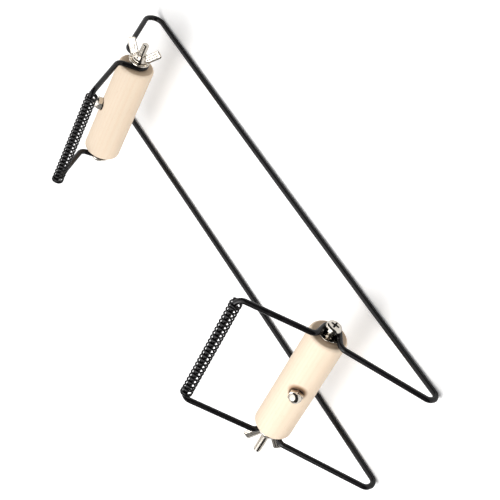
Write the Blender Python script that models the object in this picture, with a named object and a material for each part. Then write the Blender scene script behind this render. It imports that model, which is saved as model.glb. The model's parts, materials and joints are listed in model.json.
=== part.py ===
"""Ham holder stand.

One closed loop of coated wire makes the whole frame.  Two long rails lie on the table.  At the
front they turn back in tight hairpins and rise as struts, dip in an open kink under the bolt of
the front roller, carry on as arms and are joined by a straight spring bar.  The rear end is the
same, leaning the other way, and holds the shank of the ham.  Each roller is a wooden dowel on a
long pan head screw that a wing nut clamps across the two kinks, and each bar carries a loose coil
spring that grips the ham.

X runs across the stand, +Y runs from the front hairpins to the rear ones and +Z is up.  All
lengths are in metres.
"""

import math

import bmesh
import bpy
from mathutils import Vector

MM = 0.001
GAP = 0.3 * MM  # between faces that touch on the real stand

# ---- Frame wire -----------------------------------------------------------------------------

WIRE_DIAMETER = 4.0 * MM  # over its black coat
RAIL_LENGTH = 447.0 * MM  # from corner to corner, where rails and struts would meet
RAIL_BOW = 1.2 * MM  # how far each rail bows inward at its middle
FRONT_BEND_HALF_WIDTH = 51.0 * MM
REAR_BEND_HALF_WIDTH = 48.6 * MM
FRONT_HAIRPIN_RADIUS = 6.8 * MM
REAR_HAIRPIN_RADIUS = 8.5 * MM
BAR_CORNER_RADIUS = 6.2 * MM
FRONT_STRUT_SLOPE = math.radians(38.8)
FRONT_ARM_SLOPE = math.radians(45.2)
FRONT_ARM_LENGTH = 58.6 * MM  # from the knee of the strut to the spring bar
REAR_STRUT_SLOPE = math.radians(46.4)
REAR_ARM_SLOPE = math.radians(51.3)
REAR_ARM_LENGTH = 61.0 * MM
FRONT_KNEE_DISTANCE = 109.0 * MM  # from the hairpin corner along the strut
REAR_KNEE_DISTANCE = 88.0 * MM
FRONT_AXLE_DISTANCE = 98.4 * MM
REAR_AXLE_DISTANCE = 83.6 * MM
FRONT_KINK_DEPTH = 11.4 * MM  # from the line of the strut down to the bolt
REAR_KINK_DEPTH = 13.4 * MM
FRONT_KINK_RADIUS = 6.0 * MM  # of the wire's own centre line round the bolt
REAR_KINK_RADIUS = 7.0 * MM
KINK_SPLAY = math.radians(17.5)  # lean of each leg of the kink away from the other
KINK_SHOULDER_RADIUS = 6.0 * MM

# ---- Rollers and their hardware -------------------------------------------------------------

ROLLER_DIAMETER = 30.0 * MM
FRONT_ROLLER_LENGTH = 103.2 * MM
REAR_ROLLER_LENGTH = 92.2 * MM
ROLLER_RIM_RADIUS = 2.2 * MM
ROLLER_BORE_DIAMETER = 6.8 * MM

SCREW_DIAMETER = 6.0 * MM
FRONT_SCREW_LENGTH = 140.0 * MM
REAR_SCREW_LENGTH = 120.0 * MM
SCREW_TIP_CHAMFER = 0.8 * MM
PAN_HEAD_DIAMETER = 12.0 * MM
PAN_HEAD_HEIGHT = 4.2 * MM
PAN_HEAD_FLAT = 0.45  # of the head's width stays flat on top
RECESS_SPAN = 7.0 * MM
RECESS_SLOT = 1.5 * MM
RECESS_DEPTH = 2.4 * MM

WASHER_DIAMETER = 18.0 * MM
WASHER_THICKNESS = 1.2 * MM
WASHER_BORE_DIAMETER = 6.6 * MM

NUT_HEIGHT = 5.2 * MM
NUT_BASE_DIAMETER = 13.0 * MM
NUT_TOP_DIAMETER = 9.6 * MM
NUT_BORE_DIAMETER = 6.6 * MM
WING_SPAN = 31.6 * MM
WING_HEIGHT = 16.0 * MM  # from the base of the nut to the tips of the wings
WING_WIDTH = 7.4 * MM
WING_THICKNESS = 2.4 * MM
WING_LEAN = math.radians(38.0)  # away from the screw's own line
WING_CORNER_RADIUS = 1.8 * MM
WING_FOOT = 0.8 * MM  # between the base of the nut and the lowest part of a wing
FRONT_NUT_TURN = math.radians(53.0)
REAR_NUT_TURN = math.radians(30.0)

# ---- Locking stud across each roller --------------------------------------------------------

STUD_DIAMETER = 6.0 * MM
STUD_REACH_IN_CAP = 5.4 * MM
INSERT_BODY_DIAMETER = 9.0 * MM
INSERT_FLANGE_DIAMETER = 12.6 * MM
INSERT_FLANGE_THICKNESS = 0.9 * MM
INSERT_BORE_DIAMETER = 6.6 * MM
INSERT_LENGTH = 9.5 * MM
SEAT_DEPTH = 1.5 * MM  # of the flat that is cut into the roller under the flange
SEAT_CLEARANCE = 0.5 * MM
CAP_ACROSS_FLATS = 10.0 * MM
CAP_HEX_HEIGHT = 4.4 * MM
CAP_HEIGHT = 9.0 * MM
CAP_DOME_DIAMETER = 9.4 * MM
CAP_BORE_DEPTH = 6.0 * MM
FRONT_STUD_DIRECTION = math.radians(134.0)  # from +Y towards +Z
REAR_STUD_DIRECTION = math.radians(62.0)

# ---- Springs --------------------------------------------------------------------------------

SPRING_DIAMETER = 10.0 * MM
SPRING_WIRE_DIAMETER = 1.4 * MM
FRONT_SPRING_LENGTH = 101.0 * MM
REAR_SPRING_LENGTH = 92.0 * MM
FRONT_SPRING_TURNS = 25
REAR_SPRING_TURNS = 25
SPRING_CLOSED_TURNS = 1.5  # at each end
SPRING_CLOSED_PITCH = 1.8 * MM

# ---- Fineness of the round forms ------------------------------------------------------------

WIRE_SIDES = 10
SPRING_SIDES = 6
SPRING_STEPS = 10  # in each turn
ROLLER_STEPS = 48
ROUND_STEPS = 24
BEND_STEP = math.radians(18.0)
SMOOTH_ANGLE = math.radians(40.0)

# ---- Sizes that follow from those above -----------------------------------------------------

WIRE_RADIUS = WIRE_DIAMETER / 2
FRONT_WIRE_X = (FRONT_ROLLER_LENGTH + WASHER_THICKNESS + GAP) / 2 + GAP + WIRE_RADIUS
FRONT_ROLLER_SHIFT = -(WASHER_THICKNESS + GAP) / 2  # the washer inside the wire is at one end only
REAR_WIRE_X = REAR_ROLLER_LENGTH / 2 + GAP + WIRE_RADIUS


def along(start, slope, distance, facing):
    """The (y, z) place at a distance up a slope, facing +1 to the rear or -1 to the front."""
    return Vector((start[0] + facing * distance * math.cos(slope), start[1] + distance * math.sin(slope)))


def below(place, slope, depth, facing):
    """The (y, z) place at a depth square to a slope, on its under side."""
    return Vector((place[0] + facing * depth * math.sin(slope), place[1] - depth * math.cos(slope)))


FRONT_CORNER = Vector((0.0, WIRE_RADIUS))
REAR_CORNER = Vector((RAIL_LENGTH, WIRE_RADIUS))
FRONT_KNEE = along(FRONT_CORNER, FRONT_STRUT_SLOPE, FRONT_KNEE_DISTANCE, 1)
REAR_KNEE = along(REAR_CORNER, REAR_STRUT_SLOPE, REAR_KNEE_DISTANCE, -1)
FRONT_BAR = along(FRONT_KNEE, FRONT_ARM_SLOPE, FRONT_ARM_LENGTH, 1)
REAR_BAR = along(REAR_KNEE, REAR_ARM_SLOPE, REAR_ARM_LENGTH, -1)
FRONT_AXLE = below(
    along(FRONT_CORNER, FRONT_STRUT_SLOPE, FRONT_AXLE_DISTANCE, 1), FRONT_STRUT_SLOPE, FRONT_KINK_DEPTH, 1
)
REAR_AXLE = below(
    along(REAR_CORNER, REAR_STRUT_SLOPE, REAR_AXLE_DISTANCE, -1), REAR_STRUT_SLOPE, REAR_KINK_DEPTH, -1
)


# ---- Tools ----------------------------------------------------------------------------------


def clear_scene():
    for thing in list(bpy.data.objects):
        bpy.data.objects.remove(thing, do_unlink=True)


def make_material(name, colour, roughness, metallic):
    material = bpy.data.materials.new(name)
    material.use_nodes = True
    shader = material.node_tree.nodes["Principled BSDF"]
    shader.inputs["Base Color"].default_value = (*colour, 1.0)
    shader.inputs["Roughness"].default_value = roughness
    shader.inputs["Metallic"].default_value = metallic
    material.diffuse_color = (*colour, 1.0)
    return material


def make_object(name, bm, material, parent):
    bmesh.ops.recalc_face_normals(bm, faces=bm.faces)
    mesh = bpy.data.meshes.new(name)
    bm.to_mesh(mesh)
    bm.free()
    mesh.shade_smooth()
    mesh.set_sharp_from_angle(angle=SMOOTH_ANGLE)
    if material:
        mesh.materials.append(material)
    thing = bpy.data.objects.new(name, mesh)
    bpy.context.scene.collection.objects.link(thing)
    thing.parent = parent
    return thing


def make_empty(name, location, parent):
    empty = bpy.data.objects.new(name, None)
    bpy.context.scene.collection.objects.link(empty)
    empty.location = location
    empty.parent = parent
    return empty


def hide_helper(thing):
    thing.hide_render = True
    thing.display_type = "WIRE"
    return thing


def boolean(target, helper, operation):
    modifier = target.modifiers.new(operation.title(), "BOOLEAN")
    modifier.operation = operation
    modifier.object = hide_helper(helper)
    modifier.solver = "EXACT"


def lathe(profile, steps):
    """Turn (x, radius) places about the X axis; a profile that meets the axis closes there."""
    bm = bmesh.new()
    corners = [bm.verts.new((x, 0.0, radius)) for x, radius in profile]
    edges = [bm.edges.new(pair) for pair in zip(corners, corners[1:])]
    if profile[0][1] > 0 and profile[-1][1] > 0:
        edges.append(bm.edges.new((corners[-1], corners[0])))
    bmesh.ops.spin(
        bm,
        geom=corners + edges,
        cent=(0, 0, 0),
        axis=(1, 0, 0),
        angle=math.tau,
        steps=steps,
        use_merge=True,
    )
    bmesh.ops.remove_doubles(bm, verts=bm.verts, dist=0.001 * MM)
    return bm


def arc(centre, radius, start, end, count):
    """Places on an arc, with both of its ends."""
    angles = [start + (end - start) * k / count for k in range(count + 1)]
    return [(centre[0] + radius * math.cos(a), centre[1] + radius * math.sin(a)) for a in angles]


def sweep(places, sides_of, radius, sides, closed):
    """A round bar along places; sides_of gives the across direction of the bar at each place."""
    bm = bmesh.new()
    corner_radius = radius / math.cos(math.pi / sides)  # the flats, not the corners, lie on the bar
    first = math.pi / 2 + math.pi / sides  # one flat faces straight down where the bar is level
    rings = []
    for place, (across, up) in zip(places, sides_of):
        ring = []
        for k in range(sides):
            angle = first + math.tau * k / sides
            offset = across * math.cos(angle) + up * math.sin(angle)
            ring.append(bm.verts.new(place + offset * corner_radius))
        rings.append(ring)
    pairs = list(zip(rings, rings[1:]))
    if closed:
        pairs.append((rings[-1], rings[0]))
    for here, there in pairs:
        for k in range(sides):
            j = (k + 1) % sides
            bm.faces.new((here[k], here[j], there[j], there[k]))
    if not closed:
        bm.faces.new(rings[0])
        bm.faces.new(rings[-1])
    return bm


def tangents(places, closed):
    count = len(places)
    result = []
    for k in range(count):
        before = places[(k - 1) % count] if closed or k else places[0]
        after = places[(k + 1) % count] if closed or k < count - 1 else places[-1]
        result.append((after - before).normalized())
    return result


# ---- Frame wire -----------------------------------------------------------------------------


def rounded(corners):
    """Places along a closed wire whose (place, bend radius) corners are bent to their radii."""
    places = []
    count = len(corners)
    for k, (corner, radius) in enumerate(corners):
        if radius == 0:
            places.append(corner)
            continue
        arriving = (corner - corners[k - 1][0]).normalized()
        leaving = (corners[(k + 1) % count][0] - corner).normalized()
        turn = arriving.angle(leaving)
        start = corner - arriving * radius * math.tan(turn / 2)
        inward = (leaving - arriving * arriving.dot(leaving)).normalized()
        steps = max(3, math.ceil(turn / BEND_STEP))
        bend = [
            start + (arriving * math.sin(turn * j / steps) + inward * (1 - math.cos(turn * j / steps))) * radius
            for j in range(steps + 1)
        ]
        if places and (bend[0] - places[-1]).length < radius / steps:
            bend.pop(0)  # this bend starts where the last one ended
        places += bend
    return places


def crossing(place, direction, other, other_direction):
    """Where two lines in the (y, z) plane meet."""
    span = other - place
    share = span.cross(other_direction) / direction.cross(other_direction)
    return place + direction * share


def kink(corner, knee, bar, axle, radius):
    """The four (y, z) corners of the open kink that holds the bolt, from strut to arm."""
    run = (bar - corner).normalized()
    lift = Vector((-run.y, run.x)) * math.copysign(1.0, run.x)  # towards the kink's open side
    corners = []
    for outward, start in ((-run, corner), (run, bar)):
        leg = lift * math.cos(KINK_SPLAY) + outward * math.sin(KINK_SPLAY)
        touch = axle + (outward * math.cos(KINK_SPLAY) - lift * math.sin(KINK_SPLAY)) * radius
        shoulder = crossing(touch, leg, start, knee - start)
        foot = crossing(touch, leg, axle - lift * radius, run)
        corners.append(((shoulder, KINK_SHOULDER_RADIUS), (foot, radius)))
    (shoulder_in, foot_in), (shoulder_out, foot_out) = corners
    return [shoulder_in, foot_in, foot_out, shoulder_out]


def rail_places():
    """The inner places of one rail, from front to rear, bowed inward; (x, y) and level."""
    places = []
    steps = 8
    first, last = 2 / 16, 14 / 16  # clear of the hairpins
    for k in range(steps + 1):
        share = first + (last - first) * k / steps
        straight = FRONT_BEND_HALF_WIDTH + (REAR_BEND_HALF_WIDTH - FRONT_BEND_HALF_WIDTH) * share
        bow = RAIL_BOW * 4 * share * (1 - share)
        places.append((straight - bow, RAIL_LENGTH * share))
    return places


def frame_corners():
    """The corners of the closed wire: up one side from the rear bar, and down the other."""
    half = [(Vector((REAR_WIRE_X, *REAR_BAR)), BAR_CORNER_RADIUS)]
    rear_kink = kink(REAR_CORNER, REAR_KNEE, REAR_BAR, REAR_AXLE, REAR_KINK_RADIUS)
    for place, radius in reversed(rear_kink):
        half.append((Vector((REAR_WIRE_X, *place)), radius))
    half.append((Vector((REAR_BEND_HALF_WIDTH, *REAR_CORNER)), REAR_HAIRPIN_RADIUS))
    for x, y in reversed(rail_places()):
        half.append((Vector((x, y, WIRE_RADIUS)), 0))
    half.append((Vector((FRONT_BEND_HALF_WIDTH, *FRONT_CORNER)), FRONT_HAIRPIN_RADIUS))
    for place, radius in kink(FRONT_CORNER, FRONT_KNEE, FRONT_BAR, FRONT_AXLE, FRONT_KINK_RADIUS):
        half.append((Vector((FRONT_WIRE_X, *place)), radius))
    half.append((Vector((FRONT_WIRE_X, *FRONT_BAR)), BAR_CORNER_RADIUS))
    other = [(Vector((-place.x, place.y, place.z)), radius) for place, radius in reversed(half)]
    return half + other


def frame_places():
    return rounded(frame_corners())


def frame_sides(places):
    """Across and up directions of the wire: X is across on both sides, the arm's line on each bar."""
    front_arm = Vector((0.0, *(FRONT_BAR - FRONT_KNEE))).normalized()
    rear_arm = Vector((0.0, *(REAR_BAR - REAR_KNEE))).normalized()
    sides = []
    for place, direction in zip(places, tangents(places, closed=True)):
        if abs(direction.x) > math.cos(math.pi / 4):
            steady = front_arm if place.y < RAIL_LENGTH / 2 else rear_arm
        else:
            steady = Vector((math.copysign(1.0, place.x), 0.0, 0.0))
        across = (steady - direction * steady.dot(direction)).normalized()
        sides.append((across, direction.cross(across)))
    return sides


def build_frame(stand, coat):
    places = frame_places()
    bm = sweep(places, frame_sides(places), WIRE_RADIUS, WIRE_SIDES, closed=True)
    make_object("frame_wire", bm, coat, stand)


# ---- Rollers --------------------------------------------------------------------------------


def build_roller(name, length, wood, axle):
    half, radius, rim = length / 2, ROLLER_DIAMETER / 2, ROLLER_RIM_RADIUS
    bore = ROLLER_BORE_DIAMETER / 2
    right = arc((half - rim, radius - rim), rim, 0, math.pi / 2, 3)
    left = arc((rim - half, radius - rim), rim, math.pi / 2, math.pi, 3)
    profile = [(half, bore)] + right + left + [(-half, bore)]
    roller = make_object(name, lathe(profile, ROLLER_STEPS), wood, axle)
    seat = [
        (0.0, INSERT_BODY_DIAMETER / 2 + GAP),
        (radius - SEAT_DEPTH, INSERT_BODY_DIAMETER / 2 + GAP),
        (radius - SEAT_DEPTH, INSERT_FLANGE_DIAMETER / 2 + SEAT_CLEARANCE),
        (radius * 2, INSERT_FLANGE_DIAMETER / 2 + SEAT_CLEARANCE),
    ]
    cutter = make_object(name + "_seat_cutter", solid_of_revolution(seat), None, axle)
    cutter.rotation_euler = (0.0, -math.pi / 2, 0.0)
    boolean(roller, cutter, "DIFFERENCE")


def solid_of_revolution(steps_up):
    """A solid turned about X, closed on the axis at both ends."""
    first, last = steps_up[0][0], steps_up[-1][0]
    return lathe([(first, 0.0)] + list(steps_up) + [(last, 0.0)], ROUND_STEPS)


# ---- Screws, washers and wing nuts; each is made with +X as the way out of the roller ---------


def build_axle_screw(name, length, head_seat, steel, axle, facing):
    """A pan head screw; its head sits at head_seat and its tip points back through the roller."""
    radius, head = SCREW_DIAMETER / 2, PAN_HEAD_DIAMETER / 2
    rise, flat = PAN_HEAD_HEIGHT / 2, head * PAN_HEAD_FLAT  # the dome's own height and its flat top
    dome = [
        (head_seat + rise + rise * math.sin(angle), flat + (head - flat) * math.cos(angle))
        for angle in (0.0, math.pi / 6, math.pi / 3, math.pi / 2)
    ]
    tip = head_seat - length
    profile = [(tip, 0.0), (tip, radius - SCREW_TIP_CHAMFER), (tip + SCREW_TIP_CHAMFER, radius)]
    profile += [(head_seat, radius), (head_seat, head)] + dome
    profile += [(head_seat + PAN_HEAD_HEIGHT, 0.0)]
    screw = make_object(name, lathe(profile, ROUND_STEPS), steel, axle)
    recess = make_object(name + "_recess_cutter", cross_recess(head_seat), None, axle)
    for thing in (screw, recess):
        thing.rotation_euler = (0.0, 0.0, 0.0 if facing > 0 else math.pi)
    boolean(screw, recess, "DIFFERENCE")


def cross_recess(head_seat):
    """A four winged plug that narrows towards the bottom of the recess."""
    bm = bmesh.new()
    top = head_seat + PAN_HEAD_HEIGHT + GAP
    bottom = head_seat + PAN_HEAD_HEIGHT - RECESS_DEPTH
    rings = []
    for x, reach in ((bottom, RECESS_SPAN * 0.27), (top, RECESS_SPAN / 2)):
        slot = RECESS_SLOT / 2
        outline = [(reach, -slot), (reach, slot), (slot, slot), (slot, reach)]
        outline += [(-slot, reach), (-slot, slot), (-reach, slot), (-reach, -slot)]
        outline += [(-slot, -slot), (-slot, -reach), (slot, -reach), (slot, -slot)]
        rings.append([bm.verts.new((x, y, z)) for y, z in outline])
    bottom_ring, top_ring = rings
    bm.faces.new(bottom_ring)
    bm.faces.new(top_ring)
    for k in range(len(top_ring)):
        j = (k + 1) % len(top_ring)
        bm.faces.new((bottom_ring[k], bottom_ring[j], top_ring[j], top_ring[k]))
    return bm


def build_washer(name, inner_face, steel, parent, facing):
    """A flat washer whose inner face is at inner_face from the middle of the roller."""
    outer, bore = WASHER_DIAMETER / 2, WASHER_BORE_DIAMETER / 2
    near, far = inner_face * facing, (inner_face + WASHER_THICKNESS) * facing
    profile = [(near, bore), (near, outer), (far, outer), (far, bore)]
    make_object(name, lathe(profile, ROUND_STEPS), steel, parent)


def wing_outline():
    """One wing in the (x, radius) plane: a tab with round corners that leans away from the hub."""
    out = Vector((math.cos(WING_LEAN), math.sin(WING_LEAN)))
    across = Vector((-math.sin(WING_LEAN), math.cos(WING_LEAN)))
    flat = WING_WIDTH - 2 * WING_CORNER_RADIUS  # between the round corners of the tip
    inner = Vector((WING_HEIGHT - WING_CORNER_RADIUS, 0.0))
    inner.y = WING_SPAN / 2 - WING_CORNER_RADIUS - flat * across.y
    outer = inner + across * flat
    places = []
    for centre, start in ((outer, math.pi / 2), (inner, 0.0)):
        for k in range(4):
            angle = start - math.pi / 2 * k / 3
            places.append(centre + (across * math.sin(angle) + out * math.cos(angle)) * WING_CORNER_RADIUS)
    # The root runs along the bore, from just above the washer to just below the hub's top.
    low, high, root = WING_FOOT, NUT_HEIGHT - WING_FOOT, NUT_BORE_DIAMETER / 2 - GAP
    places.append(Vector((high, NUT_TOP_DIAMETER / 2 - GAP)))
    places += [Vector((high, root)), Vector((low, root))]
    places.append(Vector((low, NUT_BASE_DIAMETER / 2 - GAP)))
    return places


def build_wing_nut(name, base, steel, parent, facing, turn):
    """A wing nut whose base is at base from the middle of the roller."""
    bottom, top, bore = NUT_BASE_DIAMETER / 2, NUT_TOP_DIAMETER / 2, NUT_BORE_DIAMETER / 2
    foot = NUT_HEIGHT * 0.22
    profile = [(0.0, 0.0), (0.0, bottom - foot / 4), (foot / 4, bottom), (foot, bottom)]
    profile += [(NUT_HEIGHT * 0.5, top + foot / 4), (NUT_HEIGHT, top), (NUT_HEIGHT, 0.0)]
    nut = make_object(name, lathe(profile, ROUND_STEPS), steel, parent)
    wings = []
    for side in (1, -1):
        bm = bmesh.new()
        corners = [bm.verts.new((x, side * r, -WING_THICKNESS / 2)) for x, r in wing_outline()]
        plate = bm.faces.new(corners)
        grown = bmesh.ops.extrude_face_region(bm, geom=[plate])["geom"]
        lifted = [part for part in grown if isinstance(part, bmesh.types.BMVert)]
        bmesh.ops.translate(bm, vec=(0.0, 0.0, WING_THICKNESS), verts=lifted)
        wing = make_object(f"{name}_wing_{'left' if side > 0 else 'right'}_helper", bm, None, parent)
        wings.append(wing)
        boolean(nut, wing, "UNION")
    cut = [(-NUT_HEIGHT, bore), (NUT_HEIGHT * 2, bore)]
    hole = make_object(name + "_bore_cutter", solid_of_revolution(cut), None, parent)
    boolean(nut, hole, "DIFFERENCE")
    for thing in (nut, hole, *wings):
        thing.location = (base * facing, 0.0, 0.0)
        thing.rotation_euler = (turn * facing, 0.0, 0.0 if facing > 0 else math.pi)


# ---- Locking stud, its insert and its cap nut; each is made with +X as the way out ------------


def build_lock(prefix, brass, steel, axle):
    radius = ROLLER_DIAMETER / 2
    seat = radius - SEAT_DEPTH + GAP
    flange_top = seat + INSERT_FLANGE_THICKNESS
    body, bore = INSERT_BODY_DIAMETER / 2, INSERT_BORE_DIAMETER / 2
    flange = INSERT_FLANGE_DIAMETER / 2
    end = flange_top - INSERT_LENGTH
    profile = [(end, bore), (end, body), (seat, body), (seat, flange), (flange_top, flange), (flange_top, bore)]
    insert = make_object(prefix + "_stud_insert", lathe(profile, ROUND_STEPS), brass, axle)

    cap_base = flange_top + GAP
    stud_radius, chamfer = STUD_DIAMETER / 2, SCREW_TIP_CHAMFER
    first, last = SCREW_DIAMETER / 2 + GAP, cap_base + STUD_REACH_IN_CAP
    profile = [(first, 0.0), (first, stud_radius - chamfer), (first + chamfer, stud_radius)]
    profile += [(last - chamfer, stud_radius), (last, stud_radius - chamfer), (last, 0.0)]
    stud = make_object(prefix + "_lock_stud", lathe(profile, ROUND_STEPS), steel, axle)

    cap, helpers = build_cap_nut(prefix + "_cap_nut", steel, axle)
    for thing in (insert, stud):
        thing.rotation_euler = (0.0, -math.pi / 2, 0.0)
    for thing in (cap, *helpers):
        thing.rotation_euler = (0.0, -math.pi / 2, 0.0)
        thing.location = (0.0, 0.0, cap_base)


def build_cap_nut(name, steel, axle):
    """A low domed nut: a hexagon with a chamfered base, a dome and a blind bore."""
    corner = CAP_ACROSS_FLATS / 2 / math.cos(math.pi / 6)
    chamfer = corner - CAP_ACROSS_FLATS / 2
    bm = bmesh.new()
    bmesh.ops.create_cone(
        bm, cap_ends=True, segments=6, radius1=corner, radius2=corner, depth=CAP_HEX_HEIGHT
    )
    for vert in bm.verts:
        x = vert.co.z + CAP_HEX_HEIGHT / 2
        vert.co = Vector((x, vert.co.y, vert.co.x))
    cap = make_object(name, bm, steel, axle)

    envelope = [(0.0, corner - chamfer), (chamfer * 0.5, corner + GAP)]
    envelope += [(CAP_HEX_HEIGHT - chamfer * 0.6, corner + GAP), (CAP_HEX_HEIGHT, corner - chamfer)]
    round_off = make_object(name + "_chamfer_helper", solid_of_revolution(envelope), None, axle)
    boolean(cap, round_off, "INTERSECT")

    dome_radius = CAP_DOME_DIAMETER / 2
    centre = CAP_HEIGHT - dome_radius
    profile = [(CAP_HEX_HEIGHT / 2, 0.0), (CAP_HEX_HEIGHT / 2, dome_radius)]
    profile += arc((centre, 0.0), dome_radius, math.pi / 2, 0.0, 6)[:-1] + [(CAP_HEIGHT, 0.0)]
    dome = make_object(name + "_dome_helper", lathe(profile, ROUND_STEPS), None, axle)
    boolean(cap, dome, "UNION")

    cut = [(-CAP_HEIGHT, STUD_DIAMETER / 2 + GAP), (CAP_BORE_DEPTH, STUD_DIAMETER / 2 + GAP)]
    hole = make_object(name + "_bore_cutter", solid_of_revolution(cut), None, axle)
    boolean(cap, hole, "DIFFERENCE")
    return cap, (round_off, dome, hole)


# ---- Springs --------------------------------------------------------------------------------


def spring_places(length, turns):
    """The centre line of the coil: closed turns at both ends and an even pitch between them."""
    closed_length = SPRING_CLOSED_TURNS * SPRING_CLOSED_PITCH
    open_turns = turns - 2 * SPRING_CLOSED_TURNS
    open_pitch = (length - SPRING_WIRE_DIAMETER - 2 * closed_length) / open_turns
    radius = (SPRING_DIAMETER - SPRING_WIRE_DIAMETER) / 2
    places = []
    for k in range(turns * SPRING_STEPS + 1):
        turn = k / SPRING_STEPS
        near = min(turn, SPRING_CLOSED_TURNS)
        far = max(turn - (turns - SPRING_CLOSED_TURNS), 0.0)
        middle = turn - near - far
        x = (near + far) * SPRING_CLOSED_PITCH + middle * open_pitch
        x += (SPRING_WIRE_DIAMETER - length) / 2
        places.append(Vector((x, radius * math.cos(math.tau * turn), radius * math.sin(math.tau * turn))))
    return places


def build_spring(name, length, turns, bar, coat, stand):
    """A loose spring that hangs on its bar, so its own middle line lies below the bar's."""
    inner = SPRING_DIAMETER / 2 - SPRING_WIRE_DIAMETER
    hang = inner - WIRE_RADIUS / math.cos(math.pi / WIRE_SIDES) - GAP
    places = spring_places(length, turns)
    sides = []
    for place, direction in zip(places, tangents(places, closed=False)):
        outward = Vector((0.0, place.y, place.z)).normalized()
        outward = (outward - direction * outward.dot(direction)).normalized()
        sides.append((outward, direction.cross(outward)))
    bm = sweep(places, sides, SPRING_WIRE_DIAMETER / 2, SPRING_SIDES, closed=False)
    coil = make_empty(name + "_axis", (0.0, bar[0], bar[1] - hang), stand)
    make_object(name, bm, coat, coil)


# ---- The whole stand ------------------------------------------------------------------------


def stand_shift():
    """The origin is on the table, under the middle of everything the stand reaches."""
    front_head = FRONT_WIRE_X + WIRE_RADIUS + GAP
    rear_head = REAR_WIRE_X + WIRE_RADIUS + GAP + WASHER_THICKNESS + GAP
    front_nut = -(front_head + WASHER_THICKNESS + GAP)
    left = min(front_head - FRONT_SCREW_LENGTH, front_nut - WING_HEIGHT)
    right = max(REAR_SCREW_LENGTH - rear_head, rear_head + WING_HEIGHT)
    ys = [place.y for place in frame_places()]
    return (-(left + right) / 2, -(min(ys) + max(ys)) / 2, 0.0)


def build_front_axle(stand, wood, steel, brass):
    axle = make_empty("front_axle", (0.0, *FRONT_AXLE), stand)
    lock = make_empty("front_lock", (FRONT_ROLLER_SHIFT, 0.0, 0.0), axle)
    lock.rotation_euler = (FRONT_STUD_DIRECTION - math.pi / 2, 0.0, 0.0)
    build_roller("front_roller", FRONT_ROLLER_LENGTH, wood, lock)
    build_lock("front", brass, steel, lock)
    face = FRONT_ROLLER_LENGTH / 2 + FRONT_ROLLER_SHIFT + GAP
    build_washer("front_head_washer", face, steel, axle, 1)
    outside = FRONT_WIRE_X + WIRE_RADIUS + GAP
    build_axle_screw("front_axle_screw", FRONT_SCREW_LENGTH, outside, steel, axle, 1)
    build_washer("front_clamp_washer", outside, steel, axle, -1)
    nut_base = outside + WASHER_THICKNESS + GAP
    build_wing_nut("front_wing_nut", nut_base, steel, axle, -1, FRONT_NUT_TURN)


def build_rear_axle(stand, wood, steel, brass):
    axle = make_empty("rear_axle", (0.0, *REAR_AXLE), stand)
    lock = make_empty("rear_lock", (0.0, 0.0, 0.0), axle)
    lock.rotation_euler = (REAR_STUD_DIRECTION - math.pi / 2, 0.0, 0.0)
    build_roller("rear_roller", REAR_ROLLER_LENGTH, wood, lock)
    build_lock("rear", brass, steel, lock)
    outside = REAR_WIRE_X + WIRE_RADIUS + GAP
    seat = outside + WASHER_THICKNESS + GAP
    build_washer("rear_head_washer", outside, steel, axle, -1)
    build_axle_screw("rear_axle_screw", REAR_SCREW_LENGTH, seat, steel, axle, -1)
    build_washer("rear_clamp_washer", outside, steel, axle, 1)
    build_wing_nut("rear_wing_nut", seat, steel, axle, 1, REAR_NUT_TURN)


def build_stand():
    clear_scene()
    coat = make_material("black_coat", (0.012, 0.012, 0.013), 0.38, 0.0)
    wood = make_material("pale_beech", (0.80, 0.62, 0.44), 0.6, 0.0)
    steel = make_material("nickel_steel", (0.75, 0.74, 0.71), 0.2, 1.0)
    brass = make_material("plated_insert", (0.72, 0.70, 0.62), 0.3, 1.0)
    stand = make_empty("stand", stand_shift(), None)
    build_frame(stand, coat)
    build_front_axle(stand, wood, steel, brass)
    build_rear_axle(stand, wood, steel, brass)
    build_spring("front_spring", FRONT_SPRING_LENGTH, FRONT_SPRING_TURNS, FRONT_BAR, coat, stand)
    build_spring("rear_spring", REAR_SPRING_LENGTH, REAR_SPRING_TURNS, REAR_BAR, coat, stand)


build_stand()
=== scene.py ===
"""Ham holder stand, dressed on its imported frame.

The pieces follow each other as the stand is put together: bent wire, springs, rollers, locking
studs, screws, washers and wing nuts, and last the studio it stands in.  Lengths are in metres.
"""

import json
import math

import bmesh
import bpy
from mathutils import Matrix, Vector


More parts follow.
